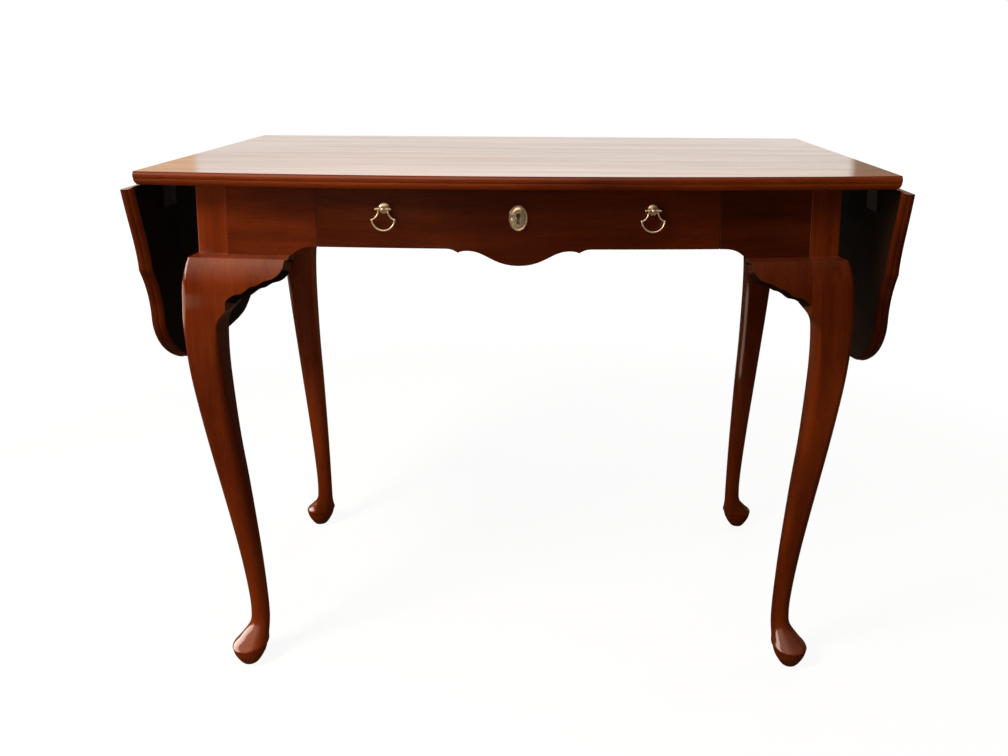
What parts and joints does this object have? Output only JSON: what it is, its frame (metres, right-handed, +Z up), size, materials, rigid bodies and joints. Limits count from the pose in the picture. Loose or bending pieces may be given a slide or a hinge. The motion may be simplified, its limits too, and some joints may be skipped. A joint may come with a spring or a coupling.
{
  "type": "drop leaf console table",
  "caption": "Bow-fronted drop-leaf console table with a shaped apron drawer, cabriole legs with scalloped knee blocks and dished pad feet, moulded top and two hinged shaped leaves",
  "frame": {"origin": "on the floor under the middle of the table, at the centre of its bounding box in plan", "axes": "+X to the right along the table, +Y to the back, +Z up; the drawer faces -Y"},
  "size_m": [1.0524, 0.5819, 0.75],
  "materials": {
    "top_mahogany": "red-brown mahogany with straight grain under a high-gloss lacquer",
    "mahogany": "dark red-brown mahogany stain under a glossy lacquer",
    "pale_wood": "unfinished pale hardwood inside the carcass",
    "polished_brass": "polished and lacquered brass",
    "steel": "bright zinc-plated steel"
  },
  "bodies": {
    "frame_body": {"table_top": "top_mahogany", "leg_front_left": "mahogany", "leg_front_right": "mahogany", "leg_rear_left": "mahogany", "leg_rear_right": "mahogany", "knee_block_front_left": "mahogany", "knee_block_front_right": "mahogany", "knee_block_back_left": "mahogany", "knee_block_back_right": "mahogany", "knee_block_left_front": "mahogany", "knee_block_left_rear": "mahogany", "knee_block_right_front": "mahogany", "knee_block_right_rear": "mahogany", "side_apron_left": "mahogany", "side_apron_right": "mahogany", "back_apron": "mahogany", "front_panel_left": "mahogany", "front_panel_right": "mahogany", "front_top_rail": "pale_wood", "front_bottom_rail": "pale_wood", "drawer_runner_left": "pale_wood", "drawer_runner_right": "pale_wood", "drawer_guide_left": "pale_wood", "drawer_guide_right": "pale_wood", "drawer_kicker_left": "pale_wood", "drawer_kicker_right": "pale_wood", "corner_blocks": "pale_wood", "top_screws": "steel", "loper_guide_left": "pale_wood", "loper_guide_right": "pale_wood", "loper_stop_pins": "pale_wood", "hinge_plates_left": "polished_brass", "hinge_plates_right": "polished_brass", "hinge_pins_left": "steel", "hinge_pins_right": "steel", "hinge_screws_left": "polished_brass", "hinge_screws_right": "polished_brass"},
    "leaf_left_body": {"leaf_left": "top_mahogany", "hinge_leaf_plates_left": "polished_brass", "hinge_leaf_screws_left": "polished_brass"},
    "leaf_right_body": {"leaf_right": "top_mahogany", "hinge_leaf_plates_right": "polished_brass", "hinge_leaf_screws_right": "polished_brass"},
    "drawer_body": {"drawer_front": "mahogany", "drawer_side_left": "pale_wood", "drawer_side_right": "pale_wood", "drawer_back": "pale_wood", "drawer_bottom": "pale_wood", "escutcheon": "polished_brass", "lock_case": "polished_brass", "lock_screws": "polished_brass", "pull_rosettes": "polished_brass", "pull_posts": "polished_brass", "pull_nuts": "polished_brass"},
    "bail_left_body": {"bail_left": "polished_brass"},
    "bail_right_body": {"bail_right": "polished_brass"},
    "bolt_body": {"lock_bolt": "polished_brass"},
    "loper_left_body": {"loper_left": "mahogany"},
    "loper_right_body": {"loper_right": "mahogany"}
  },
  "joints": [
    {"name": "leaf_left_hinge", "type": "hinge", "parent": "frame_body", "child": "leaf_left_body", "pos_m": [-0.505, 0.015, 0.7288], "axis": [0, 1, 0], "range_deg": [0, 90]},
    {"name": "leaf_right_hinge", "type": "hinge", "parent": "frame_body", "child": "leaf_right_body", "pos_m": [0.505, 0.015, 0.7288], "axis": [0, -1, 0], "range_deg": [0, 90]},
    {"name": "drawer_slide", "type": "slide", "parent": "frame_body", "child": "drawer_body", "axis": [0, -1, 0], "range_m": [0, 0.3]},
    {"name": "bail_left_swing", "type": "hinge", "parent": "drawer_body", "child": "bail_left_body", "pos_m": [-0.18032, -0.2547, 0.7005], "axis": [-0.9991, 0.0421, 0], "range_deg": [-10, 190]},
    {"name": "bail_right_swing", "type": "hinge", "parent": "drawer_body", "child": "bail_right_body", "pos_m": [0.18032, -0.2547, 0.7005], "axis": [-0.9991, -0.0421, 0], "range_deg": [-10, 190]},
    {"name": "bolt_slide", "type": "slide", "parent": "drawer_body", "child": "bolt_body", "axis": [0, 0, 1], "range_m": [0, 0.01]},
    {"name": "loper_left_slide", "type": "slide", "parent": "frame_body", "child": "loper_left_body", "axis": [-1, 0, 0], "range_m": [0, 0.068]},
    {"name": "loper_right_slide", "type": "slide", "parent": "frame_body", "child": "loper_right_body", "axis": [1, 0, 0], "range_m": [0, 0.068]}
  ]
}
